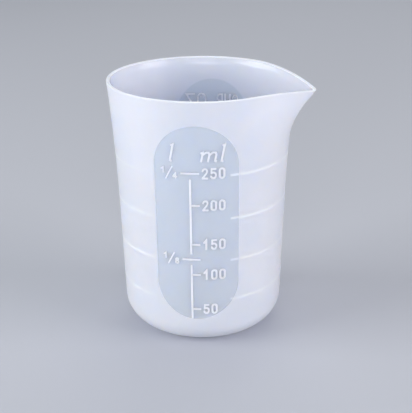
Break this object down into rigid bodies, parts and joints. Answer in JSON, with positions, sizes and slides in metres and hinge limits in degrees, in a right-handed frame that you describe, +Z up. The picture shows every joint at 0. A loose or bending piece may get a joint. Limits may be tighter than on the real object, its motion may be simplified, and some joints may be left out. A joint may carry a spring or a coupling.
{
  "type": "silicone measuring cup",
  "caption": "Tapered cup of translucent silicone with a pouring lip, raised volume scales in two windows and level ribs inside.",
  "frame": {"origin": "middle of the flat underside, on the axis of the round wall", "axes": "+Z up out of the mouth, +X towards the pouring lip, -Y towards the litre and millilitre scale"},
  "size_m": [0.0848, 0.0766, 0.1063],
  "materials": {
    "silicone_wall": "milky translucent silicone, satin outside",
    "raised_marks": "milky translucent silicone, satin",
    "level_ribs": "milky translucent silicone, satin"
  },
  "bodies": {
    "root": {"cup_body": "silicone_wall", "cup_figures": "raised_marks", "cup_marks": "raised_marks", "cup_scale_stem": "raised_marks", "cup_word": "raised_marks", "eighth_litre_fraction": "raised_marks", "full_cup_rib_heel_side": "level_ribs", "full_cup_rib_lip_side": "level_ribs", "half_cup_rib_heel_side": "level_ribs", "half_cup_rib_lip_side": "level_ribs", "litre_letter": "raised_marks", "metric_long_marks": "raised_marks", "metric_stem": "raised_marks", "metric_ticks": "raised_marks", "millilitre_letters": "raised_marks", "numeral_100": "raised_marks", "numeral_150": "raised_marks", "numeral_200": "raised_marks", "numeral_250": "raised_marks", "numeral_50": "raised_marks", "ounce_figures": "raised_marks", "ounce_marks": "raised_marks", "ounce_word": "raised_marks", "quarter_cup_rib_heel_side": "level_ribs", "quarter_cup_rib_lip_side": "level_ribs", "quarter_litre_fraction": "raised_marks", "three_quarter_cup_rib_heel_side": "level_ribs", "three_quarter_cup_rib_lip_side": "level_ribs"}
  },
  "joints": []
}
